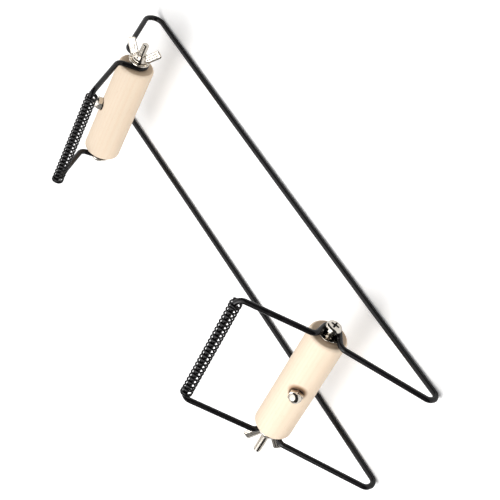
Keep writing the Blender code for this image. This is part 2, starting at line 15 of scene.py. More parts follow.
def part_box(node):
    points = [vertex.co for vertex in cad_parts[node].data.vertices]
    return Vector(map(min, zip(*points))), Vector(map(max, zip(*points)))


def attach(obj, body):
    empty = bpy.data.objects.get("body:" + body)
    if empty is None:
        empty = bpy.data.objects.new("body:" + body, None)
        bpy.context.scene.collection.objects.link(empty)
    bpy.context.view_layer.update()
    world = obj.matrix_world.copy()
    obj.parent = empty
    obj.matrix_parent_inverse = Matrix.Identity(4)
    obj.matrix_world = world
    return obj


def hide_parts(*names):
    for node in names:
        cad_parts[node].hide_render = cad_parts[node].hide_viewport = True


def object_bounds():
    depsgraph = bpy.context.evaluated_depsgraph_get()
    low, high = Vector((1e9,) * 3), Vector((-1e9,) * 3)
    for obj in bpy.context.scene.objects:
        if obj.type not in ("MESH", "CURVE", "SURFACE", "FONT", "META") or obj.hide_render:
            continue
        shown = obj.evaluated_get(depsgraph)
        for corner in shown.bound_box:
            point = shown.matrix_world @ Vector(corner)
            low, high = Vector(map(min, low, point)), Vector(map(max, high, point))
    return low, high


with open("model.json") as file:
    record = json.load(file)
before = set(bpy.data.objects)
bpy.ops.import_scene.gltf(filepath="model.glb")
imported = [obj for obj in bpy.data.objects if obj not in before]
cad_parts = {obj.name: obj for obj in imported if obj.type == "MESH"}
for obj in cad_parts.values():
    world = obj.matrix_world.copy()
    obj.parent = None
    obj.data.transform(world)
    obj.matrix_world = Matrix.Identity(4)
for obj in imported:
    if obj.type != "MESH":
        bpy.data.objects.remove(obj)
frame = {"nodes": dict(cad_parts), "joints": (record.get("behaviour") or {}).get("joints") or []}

cad_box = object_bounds()

# ---- Frame wire -----------------------------------------------------------------------------
# One closed loop of 4 mm steel wire, bent cold on a jig and butt welded under a rail, then dipped
# in a 0.2 mm black coat that dries semi-gloss.  Rails, hairpins, struts, open kinks for the two
# screws, arms and spring bars are all this one piece; everything else is hung on it.

MM = 0.001
seat_gap = 0.3 * MM  # left between two pieces that touch
wire_radius, coat_thickness = 2.0 * MM, 0.2 * MM
ends = ("front", "rear")
lean = {"front": 1, "rear": -1}  # the way along Y in which its struts and arms rise
bend_half_width = {"front": 51.0 * MM, "rear": 48.6 * MM}
hairpin_radius = {"front": 6.8 * MM, "rear": 8.57 * MM}
strut_slope = {"front": math.radians(38.8), "rear": math.radians(46.4)}
axle_distance = {"front": 98.4 * MM, "rear": 83.6 * MM}  # along the strut, from the hairpin
knee_distance = {"front": 109.0 * MM, "rear": 88.0 * MM}
kink_depth = {"front": 11.4 * MM, "rear": 13.4 * MM}
kink_radius = {"front": 6.0 * MM, "rear": 7.0 * MM}
kink_splay, kink_shoulder_radius = math.radians(17.5), 6.0 * MM
arm_slope = {"front": math.radians(45.2), "rear": math.radians(51.3)}
arm_length = {"front": 58.6 * MM, "rear": 61.0 * MM}
bar_corner_radius = 6.2 * MM
rail_bow = 1.2 * MM
rail_steps, bend_step, wire_sides = 16, math.radians(5.0), 28

joints = {joint["name"]: joint for joint in frame["joints"]}
mid_x = joints["front_roller_turn"]["pos_m"][0]  # the middle line of the stand
axle = {end: Vector(joints[end + "_roller_turn"]["pos_m"][1:]) for end in ends}
inside_wire = {"front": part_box("front_head_washer")[1][0], "rear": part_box("rear_roller")[1][0]}
wire_x = {end: inside_wire[end] - mid_x + seat_gap + wire_radius for end in ends}


def slope_ways(slope, toward):
    """Up along a slope and square to it on its under side, as (y, z)."""
    return (
        Vector((toward * math.cos(slope), math.sin(slope))),
        Vector((toward * math.sin(slope), -math.cos(slope))),
    )


def crossing(place, way, other, other_way):
    """Where two lines in the (y, z) plane meet."""
    return place + way * ((other - place).cross(other_way) / way.cross(other_way))


def main_corners(end):
    """The (y, z) corner on the table, the knee and the spring bar of one end of the stand."""
    up, under = slope_ways(strut_slope[end], lean[end])
    corner = axle[end] - up * axle_distance[end] - under * kink_depth[end]
    knee = corner + up * knee_distance[end]
    return corner, knee, knee + slope_ways(arm_slope[end], lean[end])[0] * arm_length[end]


def kink_corners(end):
    """The open kink under a screw, from strut to arm, as (place, bend radius)."""
    corner, knee, bar = main_corners(end)
    run = (bar - corner).normalized()
    lift = Vector((-run.y, run.x)) * math.copysign(1.0, run.x)
    halves = []
    for outward, start in ((-run, corner), (run, bar)):
        leg = lift * math.cos(kink_splay) + outward * math.sin(kink_splay)
        off_axle = outward * math.cos(kink_splay) - lift * math.sin(kink_splay)
        touch = axle[end] + off_axle * kink_radius[end]
        shoulder = crossing(touch, leg, start, knee - start)
        foot = crossing(touch, leg, axle[end] - lift * kink_radius[end], run)
        halves.append([(shoulder, kink_shoulder_radius), (foot, kink_radius[end])])
    return halves[0] + halves[1][::-1]


def side_of_end(end):
    """The corners of one side of an end, from its hairpin up to its bar, as (place, bend radius)."""
    corner, _, bar = main_corners(end)
    side = [(Vector((bend_half_width[end], *corner)), hairpin_radius[end])]
    side += [(Vector((wire_x[end], *place)), radius) for place, radius in kink_corners(end)]
    return side + [(Vector((wire_x[end], *bar)), bar_corner_radius)]


def rail():
    """Places along one rail, from rear to front, which bows a little inwards."""
    front, rear = main_corners("front")[0], main_corners("rear")[0]
    narrowing = bend_half_width["rear"] - bend_half_width["front"]
    places = []
    for k in range(2, rail_steps - 1):
        share = 1 - k / rail_steps  # of the rail's length, from its front corner
        straight = bend_half_width["front"] + narrowing * share
        y = front.x + (rear.x - front.x) * share
        places.append((Vector((straight - rail_bow * 4 * share * (1 - share), y, wire_radius)), 0))
    return places


def bent(corners):
    """Places along a closed wire whose corners are bent to their radii."""
    places = []
    for k, (corner, radius) in enumerate(corners):
        if radius == 0:
            places.append(corner)
            continue
        arriving = (corner - corners[k - 1][0]).normalized()
        leaving = (corners[(k + 1) % len(corners)][0] - corner).normalized()
        turn = arriving.angle(leaving)
        start = corner - arriving * radius * math.tan(turn / 2)
        inward = (leaving - arriving * arriving.dot(leaving)).normalized()
        steps = math.ceil(turn / bend_step)
        for j in range(steps + 1):
            angle = turn * j / steps
            place = start + (arriving * math.sin(angle) + inward * (1 - math.cos(angle))) * radius
            shortest = radius * bend_step / 3  # where one bend runs into the next
            if not places or (place - places[-1]).length > shortest:
                places.append(place)
    return places


def ways_along(places, closed):
    """The direction of a wire at each of its places."""
    count = len(places)
    ways = []
    for k in range(count):
        before = places[(k - 1) % count] if closed or k else places[0]
        after = places[(k + 1) % count] if closed or k < count - 1 else places[-1]
        ways.append((after - before).normalized())
    return ways


def skin(bm, rings, closed=False):
    """Faces from each ring to the next; a ring of one place draws the skin to a point."""
    for here, there in list(zip(rings, rings[1:])) + ([(rings[-1], rings[0])] if closed else []):
        for k in range(max(len(here), len(there))):
            corners = [here[k % len(here)], here[(k + 1) % len(here)]]
            corners += [there[(k + 1) % len(there)], there[k % len(there)]]
            bm.faces.new(list(dict.fromkeys(corners)))


def close_ends(bm, rings):
    """Closes both ends of a skin."""
    bm.faces.new(rings[0])
    bm.faces.new(rings[-1])


def tube(places, steady_ways, radius, sides, closed):
    """A round bar along places; its seam follows the steady way given for each place."""
    bm = bmesh.new()
    rings = []
    for place, way, steady in zip(places, ways_along(places, closed), steady_ways):
        across = (steady - way * steady.dot(way)).normalized()
        up = way.cross(across)
        ring = []
        for k in range(sides):
            angle = math.tau * k / sides
            ring.append(bm.verts.new(place + (across * math.cos(angle) + up * math.sin(angle)) * radius))
        rings.append(ring)
    skin(bm, rings, closed)
    if not closed:
        close_ends(bm, rings)
    return bm


def mesh_of(name, bm, sharp=40):
    """A smooth shaded mesh whose edges over the given angle, in degrees, stay crisp."""
    bmesh.ops.recalc_face_normals(bm, faces=bm.faces)
    mesh = bpy.data.meshes.new(name)
    bm.to_mesh(mesh)
    bm.free()
    mesh.shade_smooth()
    mesh.set_sharp_from_angle(angle=math.radians(sharp))
    return mesh


def linked(name, data):
    """A new object in the scene."""
    thing = bpy.data.objects.new(name, data)
    bpy.context.scene.collection.objects.link(thing)
    return thing


def piece(name, mesh, finish, body, slot, *nodes):
    """A finished piece, made in its place, that rides on a body and stands for CAD nodes."""
    mesh.materials.clear()
    mesh.materials.append(finish)
    thing = linked(name, mesh)
    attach(thing, body)
    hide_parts(*nodes)
    return thing


def finish_of(name, roughness, metallic=0.0):
    """A new material and its shader; the numbers that are the same all over sit on the shader."""
    finish = bpy.data.materials.new(name)
    finish.use_nodes = True
    shader = finish.node_tree.nodes["Principled BSDF"]
    shader.inputs["Roughness"].default_value = roughness
    shader.inputs["Metallic"].default_value = metallic
    return finish, shader


def add_node(finish, kind, settings=None, **sockets):
    """A node, its settings, and its sockets by name or _number; a value can be a node's output."""
    tree = finish.node_tree
    node = tree.nodes.new(kind)
    for key, value in (settings or {}).items():
        setattr(node, key, value)
    for key, value in sockets.items():
        socket = node.inputs[int(key[1:])] if key[1:].isdigit() else node.inputs[key.replace("_", " ")]
        if isinstance(value, bpy.types.NodeSocket):
            tree.links.new(value, socket)
        else:
            socket.default_value = value
    return node


def place_of(finish, stretch=(1.0, 1.0, 1.0), shift=(0.0, 0.0, 0.0)):
    """Coordinates fixed to the piece, in metres, moved and stretched."""
    coordinates = add_node(finish, "ShaderNodeTexCoord").outputs["Object"]
    mapping = add_node(finish, "ShaderNodeMapping", Vector=coordinates, Scale=stretch, Location=shift)
    return mapping.outputs["Vector"]


def ramp(finish, factor, *stops):
    """A colour ramp from (position, grey or colour) stops."""
    node = add_node(finish, "ShaderNodeValToRGB", Fac=factor)
    elements = node.color_ramp.elements
    while len(elements) < len(stops):
        elements.new(0.5)
    for element, (position, colour) in zip(elements, stops):
        element.position = position
        element.color = (colour, colour, colour, 1.0) if isinstance(colour, float) else (*colour, 1.0)
    return node.outputs["Color"]


def noise(finish, scale, detail, stretch=(1.0, 1.0, 1.0)):
    """Noise fixed to the piece; a stretch under 1 draws it out along X."""
    place = place_of(finish, stretch=stretch)
    return add_node(finish, "ShaderNodeTexNoise", Vector=place, Scale=scale, Detail=detail).outputs["Fac"]


def bump(finish, shader, height, strength, distance):
    """Fine relief on a finish."""
    node = add_node(finish, "ShaderNodeBump", Height=height, Strength=strength, Distance=distance)
    finish.node_tree.links.new(node.outputs["Normal"], shader.inputs["Normal"])


def black_coat(name, colour, worn, roughness):
    """Dipped black coat: fine orange peel, and a little greyer where it dried thin."""
    finish, shader = finish_of(name, roughness)
    shader.inputs["Specular IOR Level"].default_value = 0.28
    links = finish.node_tree.links
    clouds = noise(finish, scale=160.0, detail=4.0)
    links.new(ramp(finish, clouds, (0.38, colour), (0.72, worn)), shader.inputs["Base Color"])
    sheen = noise(finish, scale=420.0, detail=3.0)
    gloss = ramp(finish, sheen, (0.3, roughness - 0.06), (0.7, roughness + 0.08))
    links.new(gloss, shader.inputs["Roughness"])
    peel = noise(finish, scale=1400.0, detail=2.0)
    bump(finish, shader, peel, strength=0.25, distance=0.05 * MM)
    return finish


wire_coat = black_coat("dipped_black_coat", (0.004, 0.0035, 0.004), (0.007, 0.006, 0.007), 0.20)

half = side_of_end("rear")[::-1] + rail() + side_of_end("front")
whole = half + [(Vector((-place.x, place.y, place.z)), radius) for place, radius in reversed(half)]
wire_places = [place + Vector((mid_x, 0.0, 0.0)) for place in bent(whole)]
coated_radius = wire_radius + coat_thickness
for place in wire_places:  # the stand rests on its coat, and the coat adds nothing to its length
    place.y = min(max(place.y, cad_box[0].y + coated_radius), cad_box[1].y - coated_radius)
    place.z = max(place.z, cad_box[0].z + coated_radius)
middle_y = (main_corners("front")[0].x + main_corners("rear")[0].x) / 2
arm_way = {end: Vector((0.0, *slope_ways(arm_slope[end], lean[end])[0])) for end in ends}
wire_steady = []
for place, way in zip(wire_places, ways_along(wire_places, closed=True)):
    if abs(way.x) > math.cos(math.pi / 4):  # a bar, across the stand
        wire_steady.append(arm_way["front" if place.y < middle_y else "rear"])
    else:
        wire_steady.append(Vector((math.copysign(1.0, place.x - mid_x), 0.0, 0.0)))
wire_mesh = mesh_of("bent_wire", tube(wire_places, wire_steady, coated_radius, wire_sides, closed=True))
piece("bent_wire", wire_mesh, wire_coat, "frame", "black_coat", "frame_wire")

# ---- Springs --------------------------------------------------------------------------------
# A loose coil of 1.4 mm black spring wire lies on each bar and bites into the ham's rind.  It is
# wound with open turns and closed ends, slipped on before the wire is welded, and simply hangs.

coil_wire_radius, coil_wire_sides = 0.7 * MM, 10
coil_steps = 40  # in each turn
coil_turns = 25
closed_turns = 1.5  # at each end
closed_pitch = 1.8 * MM
spring_coat = black_coat("black_spring_wire", (0.004, 0.004, 0.004), (0.007, 0.006, 0.007), 0.32)


def coil_places(low, high, axis):
    """The wire's middle line from one end of the coil to the other."""
    start = low[0] + coil_wire_radius
    open_length = high[0] - low[0] - 2 * coil_wire_radius - 2 * closed_turns * closed_pitch
    open_pitch = open_length / (coil_turns - 2 * closed_turns)
    reach = min(high[1] - axis[1], axis[1] - low[1], high[2] - axis[2], axis[2] - low[2])
    radius = reach - coil_wire_radius
    places = []
    for k in range(coil_turns * coil_steps + 1):
        turn = k / coil_steps
        near = min(turn, closed_turns)
        far = max(turn - (coil_turns - closed_turns), 0.0)
        x = start + (near + far) * closed_pitch + (turn - near - far) * open_pitch
        angle = math.tau * turn
        places.append(Vector((x, axis[1] + radius * math.cos(angle), axis[2] + radius * math.sin(angle))))
    return places


for end in ends:
    low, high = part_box(end + "_spring")
    axis = joints[end + "_spring_turn"]["pos_m"]
    places = coil_places(low, high, axis)
    outward = [Vector((0.0, place.y - axis[1], place.z - axis[2])).normalized() for place in places]
    coil_tube = tube(places, outward, coil_wire_radius, coil_wire_sides, closed=False)
    coil = mesh_of(end + "_coil", coil_tube, sharp=60)
    piece(end + "_coil", coil, spring_coat, end + "_spring", "black_coat", end + "_spring")

# ---- Rollers --------------------------------------------------------------------------------
# Beech dowels of 30 mm, sawn to length, bored right through for the screw, rounded at both rims
# and spot-faced at the middle for the locking nut.  They are sanded and left bare; the wood round
# the seat, on its outer side, carries a painted shadow of the domed nut.

rim_radius, rim_steps = 2.8 * MM, 10
roller_bore = 3.4 * MM
seat_depth, seat_radius, seat_sides = 1.5 * MM, 5.6 * MM, 64
dowel_rings, dowel_sides = 48, 128
# Painted shadow of the domed nut on the wood round its seat: where its middle sits and how far it reaches.
nut_shadow_shift = {"front": 2.3 * MM, "rear": 0.3 * MM}  # along the roller, from its seat
nut_shadow_reach = {"front": 2.8 * MM, "rear": 1.0 * MM}  # past the seat's rim
nut_shadow_inset = 1.2 * MM  # inside the rim, where it starts to fade
# End faces darker: partly the end grain's own tone, partly painted shade, which is deeper on the front end
# face.
end_grain_and_shade = {"front": (0.49, 0.44, 0.39), "rear": (0.62, 0.57, 0.51)}  # of the end grain
stud_direction = {"front": math.radians(134.0), "rear": math.radians(62.0)}  # up from level, to the rear


def arc(centre, radius, start, end, count):
    """Places on an arc, with both of its ends."""
    angles = [start + (end - start) * k / count for k in range(count + 1)]
    return [(centre[0] + radius * math.cos(a), centre[1] + radius * math.sin(a)) for a in angles]


def turned(profile, steps, ring=False, limit=None):
    """Turns (x, radius) places about X; limit(angle) caps the radius, as the flats of a nut do."""
    bm = bmesh.new()
    rings = []
    for x, radius in profile:
        if radius == 0:
            rings.append([bm.verts.new((x, 0.0, 0.0))])
            continue
        circle = []
        for k in range(steps):
            angle = math.tau * k / steps
            reach = min(radius, limit(angle)) if limit else radius
            circle.append(bm.verts.new((x, reach * math.cos(angle), reach * math.sin(angle))))
        rings.append(circle)
    skin(bm, rings, closed=ring)
    return bm


def move(mesh, x, axle, turn=0.0, facing=1, out=None):
    """Puts a piece made along +X at a place on an axle, or square to the axle in the way `out`."""
    if out is None:
        stand_way = Matrix.Rotation(turn, 4, "X") @ Matrix.Rotation(0.0 if facing > 0 else math.pi, 4, "Z")
    else:
        stand_way = Matrix.Rotation(out - math.pi / 2, 4, "X") @ Matrix.Rotation(-math.pi / 2, 4, "Y")
    mesh.transform(Matrix.Translation((x, *axle)) @ stand_way)
    mesh.update()


def worked(mesh, operation, *tools):
    """A closed mesh with tools taken out of it (DIFFERENCE) or made one with it (UNION)."""
    things = [linked("work", data) for data in (mesh, *tools)]
    for tool in things[1:]:
        step = things[0].modifiers.new("Step", "BOOLEAN")
        step.operation = operation
        step.object = tool
        step.solver = "EXACT"
    depsgraph = bpy.context.evaluated_depsgraph_get()
    result = bpy.data.meshes.new_from_object(things[0].evaluated_get(depsgraph))
    for thing in things:
        bpy.data.objects.remove(thing, do_unlink=True)
    result.name = mesh.name
    return result


def multiplied(finish, colour, tint, share=1.0):
    """A colour times a tint, by a share."""
    settings = {"data_type": "RGBA", "blend_type": "MULTIPLY"}
    return add_node(finish, "ShaderNodeMix", settings, _0=share, _6=colour, _7=tint).outputs[2]


def vector_math(finish, operation, *values):
    """The vector or number that an operation on vectors gives."""
    sockets = {f"_{k}": value for k, value in enumerate(values)}
    node = add_node(finish, "ShaderNodeVectorMath", {"operation": operation}, **sockets)
    return node.outputs["Value" if operation in ("LENGTH", "DOT_PRODUCT") else "Vector"]


def bare_beech(end, nut_shadow_middle, hole_way):
    """Pale bare beech: soft year rings, short flecks, end faces darkened by end grain and painted shade, and
    a painted shadow of the domed nut round the spot face.
    """
    finish, shader = finish_of(end + "_bare_beech", 0.62)
    grain = place_of(finish, stretch=(0.10, 1.0, 1.0), shift=(0.0, 0.031, -0.052))
    rings = add_node(
        finish, "ShaderNodeTexWave", {"wave_type": "RINGS", "rings_direction": "X"},
        Vector=grain, Scale=120.0, Distortion=2.2, Detail=2.0, Detail_Scale=0.8,
    )
    wood = ramp(
        finish, rings.outputs["Fac"],
        (0.0, (0.965, 0.795, 0.612)), (0.55, (0.962, 0.788, 0.604)), (1.0, (0.955, 0.768, 0.580)),
    )
    streaks = noise(finish, scale=420.0, detail=5.0, stretch=(0.06, 1.0, 1.0))
    streak_shade = ramp(finish, streaks, (0.35, (1.0, 1.0, 1.0)), (0.75, (0.985, 0.975, 0.96)))
    flecks = noise(finish, scale=1500.0, detail=2.0, stretch=(0.16, 1.0, 1.0))
    fleck_shade = ramp(finish, flecks, (0.60, (1.0, 1.0, 1.0)), (0.70, (0.95, 0.92, 0.88)))
    side_grain = multiplied(finish, multiplied(finish, wood, streak_shade), fleck_shade, share=0.8)

    # End faces: darker end grain and painted shade, by how squarely the surface faces along X.
    normal = add_node(finish, "ShaderNodeTexCoord").outputs["Normal"]
    along = add_node(finish, "ShaderNodeSeparateXYZ", Vector=normal).outputs["X"]
    endwise = add_node(finish, "ShaderNodeMath", {"operation": "ABSOLUTE"}, _0=along).outputs[0]
    end_share = ramp(finish, endwise, (0.80, 0.0), (0.98, 1.0))
    grain_and_end_shade = multiplied(finish, side_grain, (*end_grain_and_shade[end], 1.0), share=end_share)

    # Painted shadow of the domed nut: a dark ring round the seat, on its outer side only.
    from_middle = vector_math(finish, "SUBTRACT", place_of(finish), nut_shadow_middle)
    off_hole = vector_math(finish, "LENGTH", vector_math(finish, "CROSS_PRODUCT", from_middle, hole_way))
    unshadowed = add_node(
        finish, "ShaderNodeMapRange", {"interpolation_type": "SMOOTHSTEP"},
        Value=off_hole, From_Min=seat_radius - nut_shadow_inset, From_Max=seat_radius + nut_shadow_reach[end],
    )
    outward = vector_math(finish, "DOT_PRODUCT", from_middle, hole_way)
    far_side = add_node(finish, "ShaderNodeMath", {"operation": "LESS_THAN"}, _0=outward, _1=0.0)
    out_of_shadow = add_node(
        finish, "ShaderNodeMath", {"operation": "MAXIMUM"}, _0=unshadowed.outputs[0], _1=far_side.outputs[0]
    )
    painted_nut_shadow_tint = ramp(
        finish, out_of_shadow.outputs[0],
        (0.0, (0.17, 0.11, 0.07)), (0.30, (0.50, 0.385, 0.285)), (1.0, (1.0, 1.0, 1.0)),
    )
    nut_shadowed = multiplied(finish, grain_and_end_shade, painted_nut_shadow_tint)
    finish.node_tree.links.new(nut_shadowed, shader.inputs["Base Color"])
    bump(finish, shader, streaks, strength=0.12, distance=0.08 * MM)
    return finish


roller_middle = {}
for end in ends:
    low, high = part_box(end + "_roller")
    half_length, radius = (high[0] - low[0]) / 2, (high[2] - low[2]) / 2
    roller_middle[end] = (low[0] + high[0]) / 2
    straight = half_length - rim_radius
    right = arc((straight, radius - rim_radius), rim_radius, 0, math.pi / 2, rim_steps)
    side = [(straight * (1 - 2 * k / dowel_rings), radius) for k in range(1, dowel_rings)]
    left = [(-x, r) for x, r in reversed(right)]
    profile = [(half_length, roller_bore)] + right + side + left + [(-half_length, roller_bore)]
    roller = mesh_of(end + "_dowel", turned(profile, dowel_sides, ring=True), sharp=35)
    seat, clear = radius - seat_depth, radius * 2
    spot = turned([(seat, 0), (seat, seat_radius), (clear, seat_radius), (clear, 0)], seat_sides)
    spot_face = mesh_of("spot_face", spot)
    move(roller, roller_middle[end], axle[end])
    move(spot_face, roller_middle[end], axle[end], out=stud_direction[end])
    roller = worked(roller, "DIFFERENCE", spot_face)
    hole_way = Vector((0.0, math.cos(stud_direction[end]), math.sin(stud_direction[end])))
    nut_shadow_middle = Vector((roller_middle[end] + nut_shadow_shift[end], *axle[end]))
    beech = bare_beech(end, nut_shadow_middle, hole_way)
    piece(end + "_dowel", roller, beech, end + "_axle", "pale_wood", end + "_roller")

# ---- Locking studs, inserts and cap nuts ----------------------------------------------------
# A short stud runs from the side of each roller to its screw and locks the two together.  A plated
# insert with a thin flange sits in the spot face, coloured near black as painted shade beside the
# nut, and a bright plated cap nut closes it.

insert_flange_radius, insert_flange_thickness = 5.25 * MM, 0.9 * MM
insert_body_radius, insert_length, insert_bore = 4.5 * MM, 9.5 * MM, 3.3 * MM
insert_edge, insert_sides = 0.3 * MM, 72
cap_half_flats, cap_sides, cap_chamfer_steps = 5.0 * MM, 96, 8
cap_hex_height, cap_height = 3.4 * MM, 7.6 * MM
cap_foot_rise, cap_shoulder_drop = 0.5, 0.6  # of the hexagon's chamfer
cap_shoulder_inset = 0.1 * MM
cap_neck_foot, cap_neck_height, cap_neck_flare = 0.05 * MM, 0.12 * MM, 0.06 * MM
cap_dome_radius, cap_dome_steps = 4.95 * MM, 14
cap_bore_radius, cap_bore_depth = 3.3 * MM, 5.4 * MM


def bright_plate(name, colour, dull, roughness):
    """Nickel plate over steel: bright, faintly cloudy, with hair-fine handling marks."""
    finish, shader = finish_of(name, roughness, metallic=1.0)
    links = finish.node_tree.links
    clouds = noise(finish, scale=260.0, detail=5.0)
    links.new(ramp(finish, clouds, (0.35, colour), (0.75, dull)), shader.inputs["Base Color"])
    haze = noise(finish, scale=700.0, detail=6.0)
    gloss = ramp(finish, haze, (0.35, roughness - 0.03), (0.75, roughness + 0.07))
    links.new(gloss, shader.inputs["Roughness"])
    marks = noise(finish, scale=2600.0, detail=2.0, stretch=(0.25, 1.0, 1.0))
    bump(finish, shader, marks, strength=0.08, distance=0.03 * MM)
    return finish


nickel = bright_plate("bright_nickel", (0.70, 0.65, 0.58), (0.62, 0.57, 0.50), 0.08)
# Near black: painted shade, so that the insert's flange shows as a dark rim beside the domed nut.
insert_shade_plate = bright_plate("insert_painted_shade", (0.055, 0.050, 0.046), (0.035, 0.032, 0.030), 0.32)


def softened(profile, radius, count=3):
    """A closed turned profile with each of its corners rounded."""
    longest = 0.45  # of a side, taken by the rounding at each of its ends
    result = []
    places = [Vector(place) for place in profile]
    for k, corner in enumerate(places):
        to_last, to_next = places[k - 1] - corner, places[(k + 1) % len(places)] - corner
        back, ahead = to_last.normalized(), to_next.normalized()
        reach = radius / math.tan(back.angle(ahead) / 2)
        reach = min(reach, to_last.length * longest, to_next.length * longest)
        start, end = corner + back * reach, corner + ahead * reach
        for j in range(count + 1):
            share = j / count
            bent_in = start.lerp(corner, share).lerp(corner.lerp(end, share), share)
            result.append((bent_in.x, bent_in.y))
    return result


def slant(start, end, count):
    """Places on a straight line, with both of its ends."""
    shares = [k / count for k in range(count + 1)]
    return [(start[0] + (end[0] - start[0]) * s, start[1] + (end[1] - start[1]) * s) for s in shares]


def hexagon(angle):
    """How far the flats of the nut reach at an angle about its middle line."""
    sector = math.radians(60.0)
    return cap_half_flats / math.cos((angle + sector / 2) % sector - sector / 2)


def cap_nut_mesh(name):
    """A domed nut along +X from its foot; the hexagon's chamfers round its corners off."""
    corner = cap_half_flats / math.cos(math.radians(30.0))
    chamfer = corner - cap_half_flats
    bore = [(cap_bore_depth, 0.0), (cap_bore_depth, cap_bore_radius), (0.0, cap_bore_radius)]
    foot = slant((0.0, corner - chamfer), (chamfer * cap_foot_rise, corner), cap_chamfer_steps)
    under_shoulder = (cap_hex_height - chamfer * cap_shoulder_drop, corner)
    over_shoulder = (cap_hex_height, corner - chamfer - cap_shoulder_inset)
    shoulder = slant(under_shoulder, over_shoulder, cap_chamfer_steps)
    neck = [
        (cap_hex_height + cap_neck_foot, cap_dome_radius + cap_neck_flare),
        (cap_hex_height + cap_neck_height, cap_dome_radius),
    ]
    dome = arc((cap_height - cap_dome_radius, 0.0), cap_dome_radius, math.pi / 2, 0.0, cap_dome_steps)
    profile = bore + foot + shoulder + neck + dome[:-1] + [(cap_height, 0.0)]
    return mesh_of(name, turned(profile, cap_sides, limit=hexagon), sharp=22)


for end in ends:
    low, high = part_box(end + "_roller")
    flange_seat = (high[2] - low[2]) / 2 - seat_depth + seat_gap
    flange_top = flange_seat + insert_flange_thickness
    insert_foot = flange_top - insert_length
    insert_profile = softened([
        (insert_foot, insert_bore), (insert_foot, insert_body_radius),
        (flange_seat, insert_body_radius), (flange_seat, insert_flange_radius),
        (flange_top, insert_flange_radius), (flange_top, insert_bore),
    ], insert_edge)
    insert = mesh_of(end + "_flanged_insert", turned(insert_profile, insert_sides, ring=True), sharp=30)
    move(insert, roller_middle[end], axle[end], out=stud_direction[end])
    piece(end + "_flanged_insert", insert, insert_shade_plate, end + "_axle", "plated_insert", end + "_stud_insert")
    cap = cap_nut_mesh(end + "_domed_nut")
    cap.transform(Matrix.Translation((flange_top + seat_gap, 0.0, 0.0)))
    move(cap, roller_middle[end], axle[end], out=stud_direction[end])
    piece(end + "_domed_nut", cap, nickel, end + "_axle", "bright_steel", end + "_cap_nut")
    stud = frame["nodes"][end + "_lock_stud"]
    for slot in stud.material_slots:
        slot.material = nickel

# ---- Screws ---------------------------------------------------------------------------------
# Plated M6 pan head screws with a cross recess, 140 mm long in front and 120 mm at the rear.  The
# last part of each is rolled with a 1 mm thread.  Each turns in its kinks as its roller's axle.

screw_radius, screw_sides = 3.0 * MM, 40
thread_pitch, thread_depth, thread_length = 1.0 * MM, 0.45 * MM, 34.0 * MM
thread_rows = 10  # of places in each pitch
thread_steepness, thread_crest = 1.2, 0.1
thread_runout = 3 * thread_pitch
tip_chamfer = 0.9 * MM
head_radius, head_flat_radius, head_height = 6.0 * MM, 2.7 * MM, 4.2 * MM
head_fillet, head_edge, crown_steps = 0.25 * MM, 0.2 * MM, 10
recess_reach, recess_slot, recess_depth = 3.5 * MM, 0.75 * MM, 2.4 * MM
recess_floor_reach, recess_floor_slot = recess_reach * 0.42, recess_slot * 0.7
# The recess's painted shade stops this far under the crown and reaches this far out.
recess_lip, recess_spread = 0.12 * MM, recess_reach * 1.05  # how far up and out its own finish goes
core_radius, core_mouth_radius, core_point, core_sides = 0.7 * MM, 1.3 * MM, 0.5 * MM, 24
screw_turn = 0.5  # radians
head_side = {"front": 1, "rear": -1}  # along X; the wing nut is on the other side
# Painted shade: the cross recess is plated dark so that it reads as a shadowed hollow.
recess_painted_shade = bright_plate("recess_painted_shade_plate", (0.050, 0.046, 0.042), (0.030, 0.028, 0.026), 0.45)


def screw_mesh(name, length):
    """A pan head screw along +X: head from x = 0 outwards, tip at -length."""
    bm = bmesh.new()
    rings = []
    for k in range(int(thread_length / thread_pitch) * thread_rows + 1):
        x = -length + thread_pitch * k / thread_rows
        runout = min(1.0, (thread_length - (x + length)) / thread_runout)
        ring = []
        for j in range(screw_sides):
            share = (x / thread_pitch - j / screw_sides) % 1.0
            flank = max(0.0, abs(share - 0.5) * 2 * thread_steepness - thread_crest)
            radius = screw_radius - thread_depth * min(flank, 1.0) * runout
            radius = min(radius, screw_radius - tip_chamfer + (x + length))
            angle = math.tau * j / screw_sides
            ring.append(bm.verts.new((x, radius * math.cos(angle), radius * math.sin(angle))))
        rings.append(ring)
    neck = [
        (-head_fillet, screw_radius), (0.0, screw_radius + head_fillet),
        (0.0, head_radius - head_edge), (head_edge, head_radius),
    ]
    rise, rim = head_height / 2, head_radius - head_flat_radius
    slopes = [math.pi / 2 * k / crown_steps for k in range(crown_steps + 1)]
    crown = [(rise + rise * math.sin(a), head_flat_radius + rim * math.cos(a)) for a in slopes]
    for x, radius in neck + crown:
        angles = [math.tau * j / screw_sides for j in range(screw_sides)]
        rings.append([bm.verts.new((x, radius * math.cos(a), radius * math.sin(a))) for a in angles])
    skin(bm, rings)
    close_ends(bm, rings)
    return worked(mesh_of(name, bm, sharp=32), "DIFFERENCE", cross_recess())


